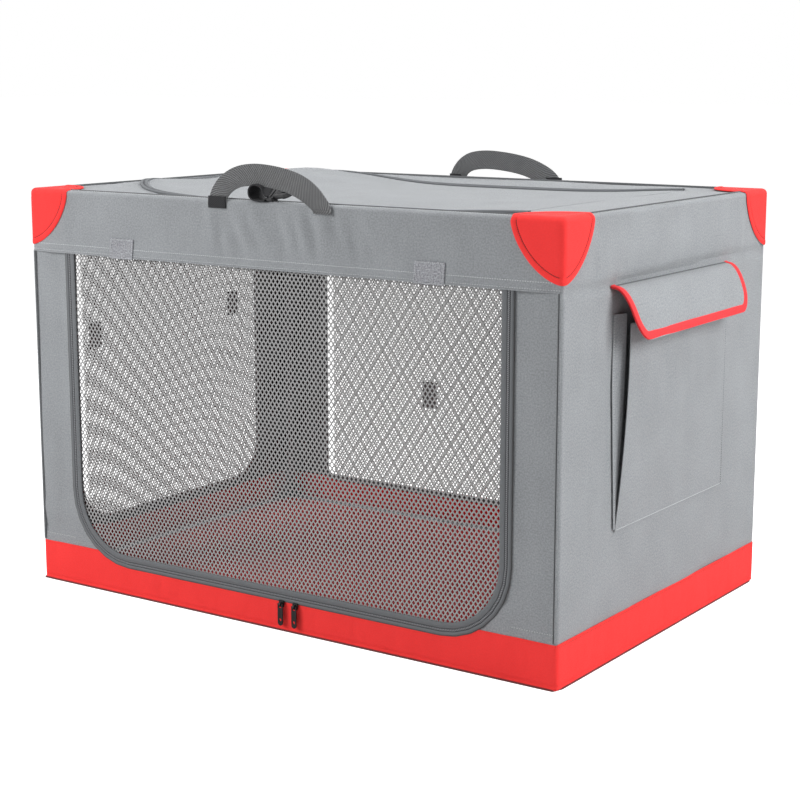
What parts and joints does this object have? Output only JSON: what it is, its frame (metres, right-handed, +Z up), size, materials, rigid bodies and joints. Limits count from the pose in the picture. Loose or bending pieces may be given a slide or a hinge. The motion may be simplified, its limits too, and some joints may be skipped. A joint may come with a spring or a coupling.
{
  "type": "soft folding dog crate",
  "caption": "Soft-sided folding dog crate: grey cloth cabin on a tube frame with folding legs, red base, mesh doors and rear window, zipped roof hatch, side pocket and webbing handles.",
  "frame": {"origin": "middle of the underside of the base, on the floor", "axes": "+X to the right along the long front, +Y to the rear, +Z up; the front door is at -Y, the side door at -X and the pocket at +X"},
  "size_m": [0.9546, 0.6174, 0.6601],
  "materials": {
    "satin_steel": "satin tube",
    "grey_moulding": "moulded dark grey plastic",
    "zinc_rivet": "zinc plated",
    "grey_cloth": "grey plain-woven polyester, coated",
    "red_cloth": "red plain-woven polyester, coated",
    "red_pad_cloth": "red soft pad cloth",
    "grey_net": "pale grey knitted mesh with long hexagonal holes",
    "grey_zip_tape": "zip tape with a coil",
    "dark_webbing": "ribbed webbing",
    "black_plastic": "moulded",
    "black_slider": "black enamelled metal"
  },
  "bodies": {
    "base": {"base_tray": "red_cloth", "base_frame": "satin_steel", "base_bracket_front_left": "grey_moulding", "base_bracket_front_right": "grey_moulding", "base_bracket_rear_left": "grey_moulding", "base_bracket_rear_right": "grey_moulding", "floor_pad": "red_pad_cloth", "front_header": "grey_cloth", "front_panel_left": "grey_cloth", "front_panel_right": "grey_cloth", "rear_panel": "grey_cloth", "rear_window_net": "grey_net", "left_panel": "grey_cloth", "right_panel": "grey_cloth", "front_zip": "grey_zip_tape", "left_zip": "grey_zip_tape", "pocket_pouch": "grey_cloth"},
    "left_lower": {"lower_leg_front_left": "satin_steel", "lower_leg_rear_left": "satin_steel", "knee_fork_front_left": "grey_moulding", "knee_fork_rear_left": "grey_moulding", "knee_pin_front_left": "zinc_rivet", "knee_pin_rear_left": "zinc_rivet"},
    "left_upper": {"upper_frame_left": "satin_steel", "knee_tongue_front_left": "grey_moulding", "knee_tongue_rear_left": "grey_moulding"},
    "top": {"top_frame": "satin_steel", "top_clip_front_left": "grey_moulding", "top_clip_front_right": "grey_moulding", "top_clip_rear_left": "grey_moulding", "top_clip_rear_right": "grey_moulding", "top_cover": "grey_cloth", "hatch_zip": "grey_zip_tape", "corner_patch_front_left": "red_cloth", "corner_patch_front_right": "red_cloth", "corner_patch_rear_left": "red_cloth", "corner_patch_rear_right": "red_cloth"},
    "right_lower": {"lower_leg_front_right": "satin_steel", "lower_leg_rear_right": "satin_steel", "knee_fork_front_right": "grey_moulding", "knee_fork_rear_right": "grey_moulding", "knee_pin_front_right": "zinc_rivet", "knee_pin_rear_right": "zinc_rivet"},
    "right_upper": {"upper_frame_right": "satin_steel", "knee_tongue_front_right": "grey_moulding", "knee_tongue_rear_right": "grey_moulding"},
    "hatch": {"hatch_panel": "grey_cloth"},
    "front_door": {"front_door_net": "grey_net", "front_door_binding": "grey_cloth"},
    "left_door": {"left_door_net": "grey_net", "left_door_binding": "grey_cloth"},
    "front_handle": {"front_handle": "dark_webbing"},
    "rear_handle": {"rear_handle": "dark_webbing"},
    "buckle": {"buckle_strap": "dark_webbing", "buckle_plug": "black_plastic"},
    "slider_left": {"zip_slider_left": "black_slider"},
    "slider_right": {"zip_slider_right": "black_slider"},
    "pull_left": {"zip_pull_left": "black_slider"},
    "pull_right": {"zip_pull_right": "black_slider"},
    "pocket_flap": {"pocket_flap": "grey_cloth"}
  },
  "joints": [
    {"name": "left_lower_fold", "type": "hinge", "parent": "base", "child": "left_lower", "pos_m": [-0.4285, 0, 0.032], "axis": [0, -1, 0], "range_deg": [-90, 0], "deforming": ["front_header", "front_panel_left", "front_panel_right", "rear_panel", "rear_window_net", "left_panel", "right_panel", "front_zip", "left_zip", "pocket_pouch", "pocket_flap", "front_door_net", "front_door_binding", "left_door_net", "left_door_binding"]},
    {"name": "left_upper_fold", "type": "hinge", "parent": "left_lower", "child": "left_upper", "pos_m": [-0.4395, 0, 0.3011], "axis": [0, -1, 0], "range_deg": [0, 180]},
    {"name": "top_level", "type": "hinge", "parent": "left_upper", "child": "top", "pos_m": [-0.4285, 0, 0.5702], "axis": [0, -1, 0], "range_deg": [-90, 0]},
    {"name": "right_lower_fold", "type": "hinge", "parent": "base", "child": "right_lower", "pos_m": [0.4285, 0, 0.032], "axis": [0, -1, 0], "range_deg": [0, 90]},
    {"name": "right_upper_fold", "type": "hinge", "parent": "right_lower", "child": "right_upper", "pos_m": [0.4395, 0, 0.3011], "axis": [0, -1, 0], "range_deg": [-180, 0]},
    {"name": "front_door_hinge", "type": "hinge", "parent": "base", "child": "front_door", "pos_m": [0, -0.302, 0.507], "axis": [-1, 0, 0], "range_deg": [0, 105]},
    {"name": "left_door_hinge", "type": "hinge", "parent": "base", "child": "left_door", "pos_m": [-0.452, 0, 0.507], "axis": [0, 1, 0], "range_deg": [0, 105]},
    {"name": "hatch_hinge", "type": "hinge", "parent": "top", "child": "hatch", "pos_m": [0.345, 0, 0.5985], "axis": [0, 1, 0], "range_deg": [0, 110]},
    {"name": "front_handle_hinge", "type": "hinge", "parent": "top", "child": "front_handle", "pos_m": [0, -0.3058, 0.5865], "axis": [1, 0, 0], "range_deg": [0, 100]},
    {"name": "rear_handle_hinge", "type": "hinge", "parent": "top", "child": "rear_handle", "pos_m": [0, 0.3058, 0.5865], "axis": [-1, 0, 0], "range_deg": [0, 100]},
    {"name": "buckle_hinge", "type": "hinge", "parent": "top", "child": "buckle", "pos_m": [0, -0.3035, 0.5988], "axis": [1, 0, 0], "range_deg": [0, 170]},
    {"name": "slider_left_slide", "type": "slide", "parent": "base", "child": "slider_left", "axis": [-1, 0, 0], "range_m": [0, 0.3]},
    {"name": "slider_right_slide", "type": "slide", "parent": "base", "child": "slider_right", "axis": [1, 0, 0], "range_m": [0, 0.27]},
    {"name": "pull_left_hinge", "type": "hinge", "parent": "slider_left", "child": "pull_left", "pos_m": [0.0145, -0.3089, 0.04095], "axis": [-1, 0, 0], "range_deg": [0, 120]},
    {"name": "pull_right_hinge", "type": "hinge", "parent": "slider_right", "child": "pull_right", "pos_m": [0.0385, -0.3089, 0.04095], "axis": [-1, 0, 0], "range_deg": [0, 120]},
    {"name": "pocket_flap_hinge", "type": "hinge", "parent": "base", "child": "pocket_flap", "pos_m": [0.4543, 0, 0.502], "axis": [0, -1, 0], "range_deg": [0, 110]}
  ],
  "couplings": [
    {"joint": "left_upper_fold", "follows": "left_lower_fold", "ratio": -2},
    {"joint": "top_level", "follows": "left_lower_fold", "ratio": 1},
    {"joint": "right_lower_fold", "follows": "left_lower_fold", "ratio": -1},
    {"joint": "right_upper_fold", "follows": "left_lower_fold", "ratio": 2}
  ]
}
